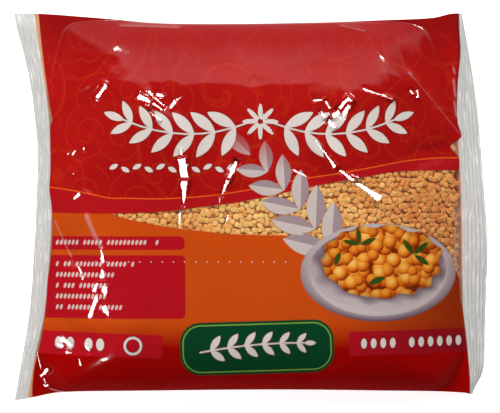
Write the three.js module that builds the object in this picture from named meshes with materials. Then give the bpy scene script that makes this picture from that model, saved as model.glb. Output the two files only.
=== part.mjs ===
// A printed pillow bag full of red split lentils, lying on its back with the printed face up.
// Millimetres, +Z up. +X runs from one end seal to the other and +Y towards the top of the print.
// The origin is on the surface that the bag lies on, under the middle of its bounding box.
//
// The bag is one film tube, flattened and crimped shut at both ends. The front and the back film are
// two grids of points with the same columns and rows. They share the points of their common rim:
// the two long sides, where the tube is rounded, and the outer edge of each end seal.

import * as THREE from "three";

// Driving dimensions
const LENGTH = 342; // over both end seals
const WIDTH = 280.4; // along an end seal: the flat width of the film tube
const HEIGHT = 50.6; // of the front's crown above the table, without its swells and folds
const SIDE_HEIGHT = 22; // of the rounded long sides, where the tube is widest
const SIDE_ROUND = 38; // how far the rounded long sides reach inwards
const END_SLOPE = 75; // how far the wedge at each end reaches inwards
const CROWN_FALL = 4; // of the front from its middle to its corners
const BACK_DEPTH = 31; // of the back below the sides, before the table flattens it
const BACK_ROUND = 3; // softens the line where the back meets the table
const FILM = 0.5; // both films of a seal together, thickened to a solid
const FIN_HALF = 6; // half the width of the lengthwise seam at the middle of the back
const FIN_STEP = 0.6; // by which the seam stands out of the back
const CRIMP_HEIGHT = 0.45; // of the ribs that the sealing jaws press into the ends
const CRIMP_FADE = 2; // rows next to each long side over which the ribs die out

// Mesh density
const BODY_COLUMNS = 54;
const CRIMP_RIBS = 5; // across each end seal
const SIDE_ROWS = 6; // around each rounded long side
const MIDDLE_ROWS = 22; // between the rounded sides, besides the rows at the seam

const HALF_LENGTH = LENGTH / 2;
const HALF_WIDTH = WIDTH / 2;
const { lerp, clamp, smoothstep } = THREE.MathUtils;

// The outline. Long sides: y over x. End seals: x over the share of the half width, from -1 to 1.
const TOP_SIDE = [
  [-171, 140.2],
  [-148, 139.6],
  [-115, 136.8],
  [-62, 132.3],
  [36, 132.6],
  [100, 134.8],
  [132, 136.6],
  [144, 139.4],
  [153, 140.2],
];
const BOTTOM_SIDE = [
  [-171, -140.2],
  [-158, -137.8],
  [-137, -133.8],
  [-72, -132.2],
  [30, -131.5],
  [122, -132.8],
  [155, -134.4],
  [162, -136],
];
const LEFT_RIM = [
  [-1, -170.8],
  [-0.78, -165],
  [-0.5, -159],
  [0.2, -153.8],
  [0.45, -155.8],
  [0.7, -161],
  [0.94, -169.6],
  [1, -171],
];
const LEFT_SEAL = [
  [-1, -161.5],
  [-0.79, -156.4],
  [-0.55, -149],
  [-0.05, -144],
  [0.45, -146],
  [0.7, -150.6],
  [1, -155],
];
const RIGHT_SEAL = [
  [-1, 158.2],
  [-0.79, 156.6],
  [-0.55, 154],
  [0, 152.6],
  [0.3, 150.6],
  [0.45, 149.4],
  [0.7, 150],
  [1, 147],
];
const RIGHT_RIM = [
  [-1, 160.6],
  [-0.96, 162.6],
  [-0.9, 167],
  [-0.84, 168.9],
  [-0.6, 169.7],
  [-0.2, 171],
  [0.05, 168.6],
  [0.45, 164.5],
  [0.7, 160.2],
  [0.94, 154.6],
  [1, 153],
];

// How high each seal leaves the bag, and how far its outer edge hangs below that line.
const LEFT_SEAL_HEIGHT = [
  [-1, 7],
  [-0.6, 13],
  [0, 18],
  [0.6, 14],
  [1, 8],
];
const RIGHT_SEAL_HEIGHT = [
  [-1, 8],
  [-0.5, 14],
  [0, 18],
  [0.6, 17],
  [1, 16],
];
const LEFT_HANG = [
  [-1, 1],
  [-0.5, 3.5],
  [0.2, 8],
  [0.6, 5],
  [1, 1],
];
const RIGHT_HANG = [
  [-1, 3],
  [-0.5, 4],
  [0, 1],
  [0.35, 5],
  [0.75, 11],
  [1, 13],
];

// The flat facet that each corner of a filled pillow bag folds into: it ends on a line that cuts the
// corner off, at these distances from the corner along the seal and along the long side.
const CORNERS = [
  { end: -1, side: 1, alongSeal: 70, alongSide: 92, fall: 0.8 },
  { end: 1, side: 1, alongSeal: 88, alongSide: 84, fall: 0.75 },
  { end: -1, side: -1, alongSeal: 46, alongSide: 44, fall: 0.7 },
  { end: 1, side: -1, alongSeal: 42, alongSide: 40, fall: 0.7 },
];

// Ridges (rise > 0) and valleys (rise < 0) of the front film, each along a line from one point to
// another. spread is how far a fold reaches to either side.
const FOLDS = [
  { from: [-50, 58], to: [-49, 4], rise: 1.6, spread: 11 },
  { from: [-12, 34], to: [-24, 8], rise: 1.3, spread: 9 },
  { from: [42, 50], to: [94, 2], rise: 2.2, spread: 9 },
  { from: [34, 40], to: [84, -4], rise: -1.4, spread: 12 },
  { from: [-126, 20], to: [-104, -42], rise: 2, spread: 10 },
  { from: [-146, -6], to: [-122, -42], rise: -5, spread: 9 },
  { from: [-104, -42], to: [-116, -82], rise: 1.8, spread: 9 },
  { from: [-152, -80], to: [-122, -92], rise: -3.6, spread: 9 },
  { from: [154, 44], to: [122, 36], rise: -5, spread: 9 },
  { from: [152, -20], to: [128, -34], rise: -2.4, spread: 10 },
  { from: [-78, 78], to: [-46, 44], rise: 1.5, spread: 11 },
  { from: [56, 76], to: [104, 86], rise: 1.6, spread: 11 },
  { from: [-30, 126], to: [-2, 92], rise: -2, spread: 12 },
  { from: [66, 128], to: [42, 96], rise: -2, spread: 13 },
  { from: [-62, -126], to: [-78, -96], rise: -2, spread: 11 },
  { from: [48, -126], to: [30, -98], rise: -2, spread: 12 },
];

// Broad swells of the filling under the front film.
const SWELLS = [
  { at: [-70, 66], rise: 1.6, reach: 46 },
  { at: [70, 62], rise: 1.4, reach: 44 },
  { at: [-88, -60], rise: 1.4, reach: 42 },
  { at: [20, -58], rise: 1.6, reach: 50 },
  { at: [112, -48], rise: 1.2, reach: 40 },
  { at: [0, 12], rise: -1.4, reach: 40 },
];

// A smooth curve through knots [place, value] at a place. It stays flat past the last knots.
function along(knots, place) {
  const last = knots.length - 1;
  if (place <= knots[0][0]) return knots[0][1];
  if (place >= knots[last][0]) return knots[last][1];
  const i = knots.findIndex(([p]) => p > place) - 1;
  const slope = (k) => {
    const a = knots[Math.max(k - 1, 0)];
    const b = knots[Math.min(k + 1, last)];
    return (b[1] - a[1]) / (b[0] - a[0]);
  };
  const [p0, v0] = knots[i];
  const [p1, v1] = knots[i + 1];
  const step = p1 - p0;
  const t = (place - p0) / step;
  const rise = v0 + t * t * (3 - 2 * t) * (v1 - v0);
  const lean = t * (1 - t) * step * ((1 - t) * slope(i) - t * slope(i + 1));
  return rise + lean;
}

// How much of its full depth the filled bag lacks at a place: 0 in the middle, 1 at the rim.
function lack(x, y, share) {
  const toEnd = Math.min(x - along(LEFT_SEAL, share), along(RIGHT_SEAL, share) - x);
  const toSide = Math.min(along(TOP_SIDE, x) - y, y - along(BOTTOM_SIDE, x));
  const endLack = (1 - clamp(toEnd / END_SLOPE, 0, 1)) ** 2.2;
  const sideLack = 1 - Math.sqrt(1 - (1 - clamp(toSide / SIDE_ROUND, 0, 1)) ** 2);
  const both = (endLack ** 3 + sideLack ** 3) ** (1 / 3);
  const cut = CORNERS.reduce((sum, corner) => sum + cornerLack(corner, x, y), 0);
  return Math.min(both + cut, 1);
}

function cornerLack({ end, side, alongSeal, alongSide, fall }, x, y) {
  const cornerX = along(end < 0 ? LEFT_SEAL : RIGHT_SEAL, side);
  const cornerY = side * HALF_WIDTH;
  const reached = ((x - cornerX) * -end) / alongSide + ((y - cornerY) * -side) / alongSeal;
  return fall * clamp(1 - reached, 0, 1);
}

// The height that one fold adds: a rounded ridge or valley that dies out at both ends of its line.
function foldHeight({ from, to, rise, spread }, x, y) {
  const [dx, dy] = [to[0] - from[0], to[1] - from[1]];
  const run = Math.hypot(dx, dy);
  const t = ((x - from[0]) * dx + (y - from[1]) * dy) / run ** 2;
  const off = ((x - from[0]) * dy - (y - from[1]) * dx) / run;
  const beyond = Math.max(-t, t - 1, 0) * run;
  const ends = 0.5 + 0.5 * Math.sin(Math.PI * clamp(t, 0, 1));
  return rise * ends * Math.exp(-((off / spread) ** 2) - (beyond / spread) ** 2);
}

function swellHeight({ at, rise, reach }, x, y) {
  return rise * Math.exp(-((x - at[0]) ** 2 + (y - at[1]) ** 2) / reach ** 2);
}

// Height halfway between the two films: seal height at the ends, side height further in.
function middleHeight(x, share) {
  const fromLeft = x - along(LEFT_SEAL, share);
  const fromRight = along(RIGHT_SEAL, share) - x;
  const leftPart = smoothstep(fromLeft, 0, END_SLOPE);
  const rightPart = smoothstep(fromRight, 0, END_SLOPE);
  const fromEnds = lerp(along(LEFT_SEAL_HEIGHT, share), SIDE_HEIGHT, leftPart);
  return lerp(along(RIGHT_SEAL_HEIGHT, share), fromEnds, rightPart);
}

function frontHeight(x, y, share) {
  const full = 1 - lack(x, y, share);
  const fall = CROWN_FALL * ((x / HALF_LENGTH) ** 2 + (y / HALF_WIDTH) ** 2);
  const relief =
    FOLDS.reduce((sum, fold) => sum + foldHeight(fold, x, y), 0) +
    SWELLS.reduce((sum, swell) => sum + swellHeight(swell, x, y), 0);
  const rise = (HEIGHT - SIDE_HEIGHT - fall) * full + relief * Math.min(1, 1.6 * full);
  return middleHeight(x, share) + Math.max(rise, 0) + FILM / 2;
}

// The back film hangs as deep as the front stands up, until the table flattens it. The seam along
// its middle is the lowest part.
function backHeight(x, y, share) {
  const hang = BACK_DEPTH * (1 - lack(x, y, share));
  const free = middleHeight(x, share) - hang - FILM / 2 - FIN_STEP;
  const rounded = (free + BACK_ROUND) ** 2 / (4 * BACK_ROUND);
  const onTable = Math.abs(free) < BACK_ROUND ? rounded : Math.max(free, 0);
  return onTable + (Math.abs(share) * HALF_WIDTH <= FIN_HALF ? 0 : FIN_STEP);
}

// Where a column crosses a row, seen from above. A column's place is its zone and the part of the
// way through it: the left seal, the body or the right seal.
function planPoint([zone, part], share) {
  const edges = {
    left: [LEFT_RIM, LEFT_SEAL],
    body: [LEFT_SEAL, RIGHT_SEAL],
    right: [RIGHT_SEAL, RIGHT_RIM],
  }[zone];
  const x = lerp(along(edges[0], share), along(edges[1], share), part);
  const y = lerp(along(BOTTOM_SIDE, x), along(TOP_SIDE, x), (share + 1) / 2);
  return [x, y];
}

// Height of a seal's middle plane: it hangs from the seal line to its outer edge, with the ribs of
// the crimp in between.
function sealHeight([zone, part], share, rib, ribPart) {
  const [line, hang] = zone === "left" ? [LEFT_SEAL_HEIGHT, LEFT_HANG] : [RIGHT_SEAL_HEIGHT, RIGHT_HANG];
  const out = zone === "left" ? 1 - part : part;
  return along(line, share) - along(hang, share) * out ** 1.4 + rib * CRIMP_HEIGHT * ribPart;
}

// The columns from the left rim to the right rim. Seal columns alternate between the top and the
// bottom of a rib.
function makeColumns() {
  const columns = [];
  const steps = 2 * CRIMP_RIBS;
  for (let i = 0; i < steps; i++) {
    columns.push({ place: ["left", i / steps], rib: i === 0 ? 0 : (-1) ** i });
  }
  for (let i = 0; i <= BODY_COLUMNS; i++) {
    columns.push({ place: ["body", i / BODY_COLUMNS], rib: 0 });
  }
  for (let i = 1; i <= steps; i++) {
    columns.push({ place: ["right", i / steps], rib: i === steps ? 0 : (-1) ** i });
  }
  return columns;
}

// The rows, as shares of the half width: closer together around the rounded sides, even between
// them, and in pairs where the back steps down to the seam.
function makeRows() {
  const around = [];
  for (let i = 0; i < SIDE_ROWS; i++) {
    const inwards = SIDE_ROUND * (1 - Math.cos((i / SIDE_ROWS) * (Math.PI / 2)));
    around.push(1 - inwards / HALF_WIDTH);
  }
  const between = [];
  const flat = HALF_WIDTH - SIDE_ROUND;
  const half = MIDDLE_ROWS / 2;
  for (let i = 0; i < half; i++) {
    between.push(lerp(flat, 1.6 * FIN_HALF, i / (half - 1)) / HALF_WIDTH);
  }
  const seam = [1.08 * FIN_HALF, FIN_HALF].map((y) => y / HALF_WIDTH);
  const upper = [...around, ...between, ...seam];
  return [...upper.map((share) => -share), ...upper.reverse()];
}

function makeBag() {
  const columns = makeColumns();
  const rows = makeRows();
  const lastColumn = columns.length - 1;
  const lastRow = rows.length - 1;
  const points = [];
  const rim = (c, r) => c === 0 || c === lastColumn || r === 0 || r === lastRow;

  // Heights of the front and the back film at one place of the grid.
  const heights = ({ place, rib }, r, x, y) => {
    const share = rows[r];
    if (place[0] === "body") return [frontHeight(x, y, share), backHeight(x, y, share)];
    const ribPart = clamp(Math.min(r, lastRow - r) / CRIMP_FADE, 0, 1);
    const middle = sealHeight(place, share, rib, ribPart);
    return [middle + FILM / 2, middle - FILM / 2];
  };

  const front = [];
  const back = [];
  columns.forEach((column, c) => {
    rows.forEach((share, r) => {
      const [x, y] = planPoint(column.place, share);
      const [top, bottom] = heights(column, r, x, y);
      const onRim = rim(c, r);
      front.push(points.length);
      points.push([x, y, onRim ? (top + bottom) / 2 : top]);
      back.push(onRim ? points.length - 1 : points.length);
      if (!onRim) points.push([x, y, bottom]);
    });
  });

  const faces = [];
  const at = (grid, c, r) => grid[c * rows.length + r];
  for (let c = 0; c < lastColumn; c++) {
    for (let r = 0; r < lastRow; r++) {
      const corners = [[c, r], [c + 1, r], [c + 1, r + 1], [c, r + 1]];
      const [a, b, d, e] = corners.map(([i, j]) => at(front, i, j));
      const [p, q, s, t] = corners.map(([i, j]) => at(back, i, j));
      faces.push(a, b, d, a, d, e);
      faces.push(p, s, q, p, t, s);
    }
  }

  const geometry = new THREE.BufferGeometry();
  geometry.setAttribute("position", new THREE.Float32BufferAttribute(points.flat(), 3));
  geometry.setIndex(faces);
  geometry.computeBoundingBox();
  const middle = geometry.boundingBox.getCenter(new THREE.Vector3());
  geometry.translate(-middle.x, -middle.y, -geometry.boundingBox.min.z);
  geometry.computeVertexNormals();
  return geometry;
}

const printedFilm = new THREE.MeshStandardMaterial({ color: 0xb01c16, roughness: 0.18, metalness: 0 });

const bag = new THREE.Mesh(makeBag(), printedFilm);
bag.name = "bag";

const model = new THREE.Group();
model.add(bag);

export default model;
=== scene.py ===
import math

import bmesh
import bpy
import numpy as np
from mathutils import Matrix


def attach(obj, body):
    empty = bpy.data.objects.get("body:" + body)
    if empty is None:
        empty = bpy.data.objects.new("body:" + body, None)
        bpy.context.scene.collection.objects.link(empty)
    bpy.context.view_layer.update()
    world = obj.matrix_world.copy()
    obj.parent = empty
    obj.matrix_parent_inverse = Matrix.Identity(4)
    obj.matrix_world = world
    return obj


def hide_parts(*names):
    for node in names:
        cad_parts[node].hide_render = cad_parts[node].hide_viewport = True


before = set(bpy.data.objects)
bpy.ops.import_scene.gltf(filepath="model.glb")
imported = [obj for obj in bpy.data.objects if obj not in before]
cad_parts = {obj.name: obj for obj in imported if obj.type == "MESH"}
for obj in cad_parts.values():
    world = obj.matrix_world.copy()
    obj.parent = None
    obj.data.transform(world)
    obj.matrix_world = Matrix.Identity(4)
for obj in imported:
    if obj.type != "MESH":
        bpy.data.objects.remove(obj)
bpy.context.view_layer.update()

# A printed pillow bag of red split lentils, lying on its back. Shapes are worked out in millimetres
# and become metres in the mesh. x runs along the bag, y up the print, z out of the print.
mm = 0.001


# curves and ramps over whole arrays

def along(knots, place):  # a smooth curve through [place, value] knots, flat past the last ones
    p, v = np.array(knots, float).T
    before = np.maximum(np.arange(len(p)) - 1, 0)
    after = np.minimum(np.arange(len(p)) + 1, len(p) - 1)
    slope = (v[after] - v[before]) / (p[after] - p[before])
    i = np.clip(np.searchsorted(p, place, side="right") - 1, 0, len(p) - 2)
    step = p[i + 1] - p[i]
    t = np.clip((place - p[i]) / step, 0, 1)
    rise = v[i] + t * t * (3 - 2 * t) * (v[i + 1] - v[i])
    return rise + t * (1 - t) * step * ((1 - t) * slope[i] - t * slope[i + 1])


def lerp(a, b, t):
    return a + (b - a) * t


def smoothstep(value, low, high):
    t = np.clip((value - low) / (high - low), 0, 1)
    return t * t * (3 - 2 * t)


# light and camera, known first because the creases that glint are turned towards a lamp

studio = {
    "floor": 8.0,
    "floorPaint": (0.93, 0.93, 0.93, 1),
    "floorGlow": 0.75,
    "backdrop": 7.0,
    "backdropPaint": (0.9, 0.9, 0.9, 1),
    # lamps: degrees from straight up, degrees round from +x, size outwards and across, radiance
    "lamps": [(50, 121, 0.26, 0.26, 49), (52, 52, 0.26, 0.26, 49), (50, 214, 0.26, 0.26, 36)],
    "lampDistance": 1.6,
    # the sky that the gloss mirrors is dark but for a pale wall beyond the print's top: how far up the
    # print it has to point, where it fades to either side, and its brightness low and high up
    "wall": {"from": (0.28, 0.34), "sides": (0.86, 0.7), "fade": (0.45, 0.92), "near": 0.95, "far": 0.3},
    "room": 0.025,
    "cameraHeight": 3.0,
    "frameWidth": 0.36,  # seen at the height of the seals
    "aim": (-0.00036, 0.00036),
}


def lampPlace(fromUp, compass):
    up, turn = math.radians(fromUp), math.radians(compass)
    way = np.array([math.sin(up) * math.cos(turn), math.sin(up) * math.sin(turn), math.cos(up)])
    return way * studio["lampDistance"]


def direction(start, end):
    return (end - start) / np.linalg.norm(end - start)


# the bag's form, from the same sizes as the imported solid

bag = {
    "width": 280.4,  # flat width of the film tube, along an end seal
    "height": 50.6,  # the crown above the table
    "sideHeight": 22,  # of the rounded long sides
    "sideRound": 38,
    "endSlope": 75,
    "endPower": 2.2,
    "blend": 3,  # how roundly an end runs over into a long side
    "crownFall": 4,
    "reliefIn": 1.6,  # how soon folds and swells stand out behind a seal
    "halfLength": 171,
    "backDepth": 31,
    "backRound": 3,
    "film": 0.16,
    "finHalf": 6,
    "finStep": 0.6,
    "topSide": [[-171, 140.2], [-148, 139.6], [-115, 136.8], [-62, 132.3], [36, 132.6], [100, 134.8],
                [132, 136.6], [144, 139.4], [153, 140.2]],
    "bottomSide": [[-171, -140.2], [-158, -137.8], [-137, -133.8], [-72, -132.2], [30, -131.5],
                   [122, -132.8], [155, -134.4], [162, -136]],
    "leftRim": [[-1, -170.8], [-0.78, -165], [-0.5, -159], [0.2, -153.8], [0.45, -155.8], [0.7, -161],
                [0.94, -169.6], [1, -171]],
    "leftSeal": [[-1, -161.5], [-0.79, -156.4], [-0.55, -149], [-0.05, -144], [0.45, -146],
                 [0.7, -150.6], [1, -157]],
    "rightSeal": [[-1, 158.2], [-0.79, 156.6], [-0.55, 154], [0, 152.6], [0.3, 150.6], [0.45, 149.4],
                  [0.7, 150], [1, 147]],
    "rightRim": [[-1, 160.6], [-0.96, 162.6], [-0.9, 167], [-0.84, 168.9], [-0.6, 169.7], [-0.2, 171],
                 [0.05, 168.6], [0.45, 164.5], [0.7, 160.2], [0.94, 154.6], [1, 153]],
    "leftHeight": [[-1, 7], [-0.6, 13], [0, 18], [0.6, 14], [1, 8]],
    "rightHeight": [[-1, 8], [-0.5, 14], [0, 18], [0.6, 17], [1, 16]],
    "leftHang": [[-1, 1], [-0.5, 3.5], [0.2, 8], [0.6, 5], [1, 1]],
    "rightHang": [[-1, 3], [-0.5, 4], [0, 1], [0.35, 5], [0.75, 11], [1, 13]],
    # each corner folds into a flat facet: end, side, reach along the seal and the side, fall
    "corners": [(-1, 1, 70, 92, 0.8), (1, 1, 88, 84, 0.75), (-1, -1, 46, 44, 0.7), (1, -1, 42, 40, 0.7)],
    # broad swells of the filling: place, rise, reach
    "swells": [((-70, 66), 1.6, 46), ((70, 62), 1.4, 44), ((-88, -60), 1.4, 42), ((20, -58), 1.6, 50),
               ((112, -48), 1.2, 40), ((0, 12), -1.4, 40)],
    # the main ridges and valleys: from, to, rise, spread
    "folds": [((-50, 58), (-49, 4), 1.6, 11), ((-12, 34), (-24, 8), 1.3, 9), ((42, 50), (94, 2), 2.2, 9),
              ((34, 40), (84, -4), -1.4, 12), ((-126, 20), (-104, -42), 2, 10),
              ((-146, -6), (-122, -42), -5, 9), ((-104, -42), (-116, -82), 1.8, 9),
              ((-152, -80), (-122, -92), -3.6, 9), ((154, 44), (122, 36), -5, 9),
              ((152, -20), (128, -34), -2.4, 10), ((-78, 78), (-46, 44), 1.5, 11),
              ((56, 76), (104, 86), 1.6, 11), ((-30, 126), (-2, 92), -2, 12), ((66, 128), (42, 96), -2, 13),
              ((-62, -126), (-78, -96), -2, 11), ((48, -126), (30, -98), -2, 12)],
}
halfWidth = bag["width"] / 2

wrinkles = {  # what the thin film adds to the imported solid's form
    "seed": 11,
    "easeIn": 0.05,  # the front leaves the seals and the corners softly
    "fullAt": 0.4,  # share of the filling at which wrinkles have their whole height
    "crestRound": 0.2,
    "crestEnd": 0.7,
    "soft": [  # creases with no glint of their own: from, to, rise, spread
        ((-145, 69), (-116, 86), 1, 2.4), ((-116, 86), (-94, 117), 0.3, 3),
        ((104, 122), (114, 96), 0.6, 2.4), ((114, 96), (151, 53), 1.5, 1.1),
        ((-143, -6), (-128, -36), -1.6, 3), ((-141, -10), (-129, -36), 1.6, 1.3),
        ((146, 92), (148, 80), 1.3, 0.9), ((147, 76), (149, 64), 1.3, 0.9), ((144, 110), (147, 97), 1.2, 0.9),
        ((-126, 18), (-110, -30), 0.6, 4), ((-148, -78), (-141, -98), -1.4, 3.5),
        ((150, 110), (151, 60), -1.2, 2.6), ((147, 100), (148, 66), 0.8, 2),
        ((152, 50), (146, 38), -1.8, 4), ((146, 38), (152, 26), -1.2, 3),
        ((-94, 130.5), (-51, 129), 1.4, 1.6), ((64.4, 130.5), (82.4, 126), 1.3, 1.6),
        ((-117.7, -6.5), (-106.2, -30.2), 1.4, 1.6),
    ],
    # flat facets that mirror a lamp: from, to, half width at either end
    "glints": [
        ((-103.3, 88.2), (-109.8, 77.4), 1.6, 1.1), ((-112.3, 83.4), (-107.4, 87.7), 0.5, 0.4),
        ((-80.3, 79.6), (-70, 74), 1.9, 1.4), ((-70, 74), (-62.3, 69.5), 1.3, 0.6),
        ((-73.1, 82.4), (-60.8, 71.3), 1.2, 0.6), ((-67.3, 80.8), (-61.6, 78.5), 1.4, 0.9),
        ((-71.9, 68.4), (-64.8, 61.6), 0.5, 0.3), ((-57.2, 70.6), (-52.9, 76.3), 1.1, 1.6),
        ((-52.6, 76.5), (-49.3, 78.4), 0.6, 0.4), ((-49.4, 41.4), (-49.4, 36.4), 0.8, 1),
        ((-49, 35), (-47, 19.4), 2.8, 3.2), ((-47, 19), (-47.9, 1.4), 2.7, 0.6),
        ((-9.7, 33.4), (-16, 19), 1.5, 1.5), ((-16, 19), (-21, 7.8), 1.3, 0.5),
        ((-21.2, 6.4), (-22.7, 2.9), 0.4, 0.3), ((30.3, 26.3), (39.8, 22.1), 0.9, 0.5),
        ((-50, -4), (-51.2, -13.5), 0.9, 0.6), ((-15.8, -5), (-17, -10.6), 0.6, 0.4),
        ((46.2, 47.5), (60.8, 28.4), 0.5, 1.2), ((63, 26.3), (74.5, 18.4), 1, 1.4),
        ((75.5, 17.6), (92.5, 5.4), 1.5, 2.5), ((75.8, 22.4), (77.8, 19.4), 0.6, 0.3),
        ((62.3, 67.7), (71.6, 77.8), 2.6, 2.3), ((65.2, 64.8), (70.9, 72.7), 1.9, 1.4),
        ((55.1, 62.6), (60.1, 56.2), 2.1, 0.9), ((58, 64), (63, 67.7), 1.6, 1.7),
        ((45, 76.3), (53.6, 76.3), 0.7, 0.7), ((53.6, 76), (56.5, 69.8), 0.9, 0.7),
        ((50, 68.4), (52.9, 63.4), 0.7, 0.6), ((80.3, 84.4), (101.7, 76.8), 0.9, 0.5),
        ((118.2, 83.7), (119.9, 78.2), 1.8, 1.2),
        ((114.1, 83.9), (117, 80.6), 0.7, 0.6), ((-131, 39.4), (-129.2, 37.2), 1.7, 1),
        ((-126, 40.5), (-128.2, 37), 1, 0.9), ((-119.7, 43.2), (-119.7, 40.7), 0.8, 0.8),
        ((-122.4, 9.6), (-127.1, 5.6), 1.7, 0.8), ((-127.4, 24.4), (-127, 23.2), 0.8, 0.7),
        ((-106.8, -30.2), (-105.2, -40.3), 0.8, 1.3), ((-106, -44.2), (-106, -51.1), 0.7, 1.9),
        ((-109.8, -54.2), (-112.2, -60.8), 0.9, 1.8), ((-110.1, -63.5), (-115.3, -79.7), 1.4, 1.6),
        ((-104.3, -56.6), (-104.3, -63.9), 2.5, 0.6), ((-105, -70.4), (-101.5, -78.6), 2.3, 0.6),
        ((-123.6, -42.5), (-121.2, -47.7), 0.9, 0.9), ((-120.7, -49.4), (-120.3, -52.5), 0.8, 0.7),
        ((-139.3, -97.9), (-129.2, -103), 2, 2.3), ((-136.4, -94), (-128.5, -100), 1.8, 1.5),
        ((-133.6, -103.7), (-127.8, -105.1), 1.5, 1), ((-119.4, -98.6), (-114.8, -103.8), 0.7, 1.1),
        ((-123.6, -108.3), (-121.2, -114.1), 0.4, 0.4), ((-145.6, -116.6), (-152, -122.8), 1.7, 0.4),
        ((-151, -129.4), (-146, -128.9), 0.4, 0.3),
    ],
    "glintEdge": (1.2, 0.4),  # a facet runs out into the film round it between these distances
    "glintLean": 3,  # the film's lean this far round a facet decides which lamp it mirrors
    "glintNear": (-4, -1.5),  # distances over which the filling makes room for a facet
    # along the top the film bends back at this line
    "shoulder": [[-125, 80], [-115, 86], [-103, 92], [-94, 89.3], [-62, 89.3], [-58, 90.7], [-47, 87],
                 [-15, 88.6], [3, 86.4], [28, 87], [51, 90.7], [62, 87.8], [98, 96.4], [121, 88]],
    "shoulderTilt": 0.12,
    "shoulderReach": 15,
    "shoulderHalf": 132,
    "shoulderEnds": 25,
    # where the film is crumpled into small facets: place, reach, strength
    "crumpled": [
        ((-107, 82), 12, 0.5), ((-68, 75), 14, 0.7), ((64, 68), 14, 0.7), ((-106, -44), 12, 0.5),
        ((-107, -70), 13, 0.5), ((-132, -101), 13, 0.6), ((-150, -122), 12, 0.6), ((118, 81), 9, 0.5),
        ((-127, 34), 16, 0.4), ((-47, 26), 12, 0.3), ((76, 16), 12, 0.3), ((130, -100), 16, 0.5),
    ],
    "facets": [(8.5, 0.5), (4.2, 0.16)],  # size and height of the crumpled film's facets
    "facetSeed": 3,
    "facetLattice": 64,  # random heights each way, before they repeat
    "facetBend": 0.4,
    "calm": 0.08,  # how crumpled the film is everywhere else on the front
    "edges": 0.7,  # and next to the seals and the long sides
    "edgeRange": (0.12, 0.5),
    # random thin folds: how many, where they start, how long, how far they turn, rise and spread
    "fromSeals": {"count": 60, "share": 0.92, "inwards": (0, 8), "run": (8, 34), "turn": 0.35,
                  "towardsMiddle": 0.5, "rise": 0.6, "spread": (1.2, 3)},
    "fromSides": {"count": 44, "along": 130, "across": (112, 126), "run": (10, 34), "turn": 0.5,
                  "rise": 0.5, "spread": (1.4, 4)},
    "inside": {"count": 40, "along": 125, "across": 105, "run": (6, 30), "rise": 0.16, "spread": (1.2, 3)},
}


def lack(x, y, share):  # 0 where the bag is full, 1 at the rim
    toEnd = np.minimum(x - along(bag["leftSeal"], share), along(bag["rightSeal"], share) - x)
    toSide = np.minimum(along(bag["topSide"], x) - y, y - along(bag["bottomSide"], x))
    endLack = (1 - np.clip(toEnd / bag["endSlope"], 0, 1)) ** bag["endPower"]
    sideLack = 1 - np.sqrt(1 - (1 - np.clip(toSide / bag["sideRound"], 0, 1)) ** 2)
    both = (endLack ** bag["blend"] + sideLack ** bag["blend"]) ** (1 / bag["blend"])
    for end, side, alongSeal, alongSide, fall in bag["corners"]:
        cornerX = along(bag["leftSeal" if end < 0 else "rightSeal"], side)
        reached = (x - cornerX) * -end / alongSide + (y - side * halfWidth) * -side / alongSeal
        both = both + fall * np.clip(1 - reached, 0, 1)
    return np.minimum(both, 1)


def fromLine(start, end, x, y):  # the share along a line, the distance to its side and past its ends
    dx, dy = end[0] - start[0], end[1] - start[1]
    run = math.hypot(dx, dy)
    t = ((x - start[0]) * dx + (y - start[1]) * dy) / run ** 2
    off = np.abs((x - start[0]) * dy - (y - start[1]) * dx) / run
    return t, off, np.maximum(np.maximum(-t, t - 1), 0) * run


def foldHeight(fold, x, y):  # a rounded ridge or valley that dies out at both ends of its line
    start, end, rise, spread = fold
    t, off, beyond = fromLine(start, end, x, y)
    ends = 0.5 + 0.5 * np.sin(np.pi * np.clip(t, 0, 1))
    return rise * ends * np.exp(-(off / spread) ** 2 - (beyond / spread) ** 2)


def creaseHeight(crease, x, y):  # the same, with a sharp crest
    start, end, rise, spread = crease
    _, off, beyond = fromLine(start, end, x, y)
    fall = np.sqrt(off ** 2 + wrinkles["crestRound"]) + wrinkles["crestEnd"] * beyond
    return rise * np.exp(-fall / spread)


def swellHeight(swell, x, y):
    place, rise, reach = swell
    return rise * np.exp(-((x - place[0]) ** 2 + (y - place[1]) ** 2) / reach ** 2)


def middleHeight(x, share):
    fromLeft = smoothstep(x - along(bag["leftSeal"], share), 0, bag["endSlope"])
    fromRight = smoothstep(along(bag["rightSeal"], share) - x, 0, bag["endSlope"])
    fromEnds = lerp(along(bag["leftHeight"], share), bag["sideHeight"], fromLeft)
    return lerp(along(bag["rightHeight"], share), fromEnds, fromRight)


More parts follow.
